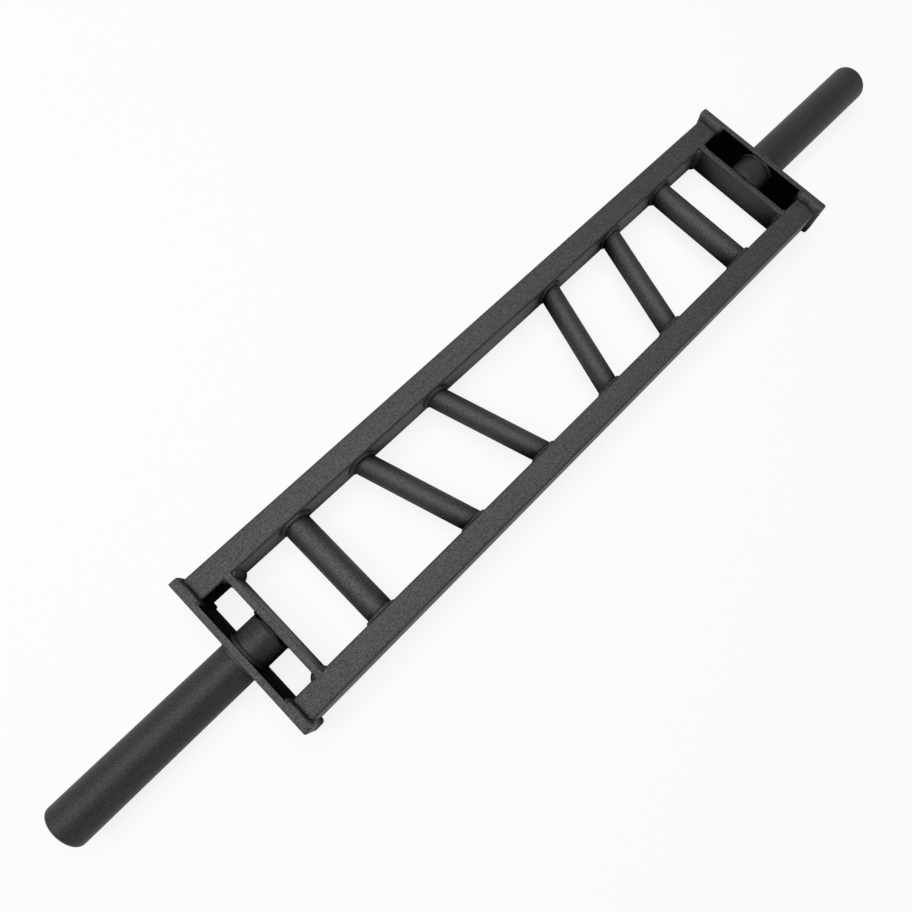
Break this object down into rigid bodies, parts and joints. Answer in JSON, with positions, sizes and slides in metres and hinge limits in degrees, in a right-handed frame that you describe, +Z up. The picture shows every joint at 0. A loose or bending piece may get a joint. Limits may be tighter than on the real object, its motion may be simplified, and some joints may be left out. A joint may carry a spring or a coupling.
{
  "type": "swiss bar",
  "caption": "Welded barbell frame with straight and slanted neutral hand grips between side rails, and a round sleeve at each end for weight plates.",
  "frame": {"origin": "under the middle of the bar, on the surface that the end plates rest on", "axes": "+X along the bar towards the right sleeve, +Y across it towards the back rail, where the slanted grips stand wider apart, +Z up"},
  "size_m": [1.31, 0.21, 0.055],
  "materials": {
    "rail_coat": "fine-textured matt black powder coat",
    "plate_coat": "fine-textured matt black powder coat",
    "grip_coat": "fine-textured matt black powder coat",
    "sleeve_coat": "satin black powder coat",
    "weld_coat": "satin black powder coat over weld bead",
    "plug_finish": "matt black powder coat"
  },
  "bodies": {
    "root": {"end_plate_left": "plate_coat", "end_plate_right": "plate_coat", "grip_inner_left": "grip_coat", "grip_inner_right": "grip_coat", "grip_middle_left": "grip_coat", "grip_middle_right": "grip_coat", "grip_outer_left": "grip_coat", "grip_outer_right": "grip_coat", "inner_plate_left": "plate_coat", "inner_plate_right": "plate_coat", "side_rail_back": "rail_coat", "side_rail_front": "rail_coat", "sleeve_left": "sleeve_coat", "sleeve_plug_left": "plug_finish", "sleeve_plug_right": "plug_finish", "sleeve_right": "sleeve_coat", "weld_grip_inner_left_back": "weld_coat", "weld_grip_inner_left_front": "weld_coat", "weld_grip_inner_right_back": "weld_coat", "weld_grip_inner_right_front": "weld_coat", "weld_grip_middle_left_back": "weld_coat", "weld_grip_middle_left_front": "weld_coat", "weld_grip_middle_right_back": "weld_coat", "weld_grip_middle_right_front": "weld_coat", "weld_grip_outer_left_back": "weld_coat", "weld_grip_outer_left_front": "weld_coat", "weld_grip_outer_right_back": "weld_coat", "weld_grip_outer_right_front": "weld_coat", "weld_plate_far_left_back": "weld_coat", "weld_plate_far_left_front": "weld_coat", "weld_plate_far_right_back": "weld_coat", "weld_plate_far_right_front": "weld_coat", "weld_plate_near_left_back": "weld_coat", "weld_plate_near_left_front": "weld_coat", "weld_plate_near_right_back": "weld_coat", "weld_plate_near_right_front": "weld_coat", "weld_rail_left_back": "weld_coat", "weld_rail_left_front": "weld_coat", "weld_rail_right_back": "weld_coat", "weld_rail_right_front": "weld_coat", "weld_seam_bottom_left_back": "weld_coat", "weld_seam_bottom_left_front": "weld_coat", "weld_seam_bottom_right_back": "weld_coat", "weld_seam_bottom_right_front": "weld_coat", "weld_seam_top_left_back": "weld_coat", "weld_seam_top_left_front": "weld_coat", "weld_seam_top_right_back": "weld_coat", "weld_seam_top_right_front": "weld_coat", "weld_sleeve_butt_left_back": "weld_coat", "weld_sleeve_butt_left_front": "weld_coat", "weld_sleeve_butt_right_back": "weld_coat", "weld_sleeve_butt_right_front": "weld_coat", "weld_sleeve_inside_left": "weld_coat", "weld_sleeve_inside_right": "weld_coat", "weld_sleeve_outside_left": "weld_coat", "weld_sleeve_outside_right": "weld_coat"}
  },
  "joints": []
}
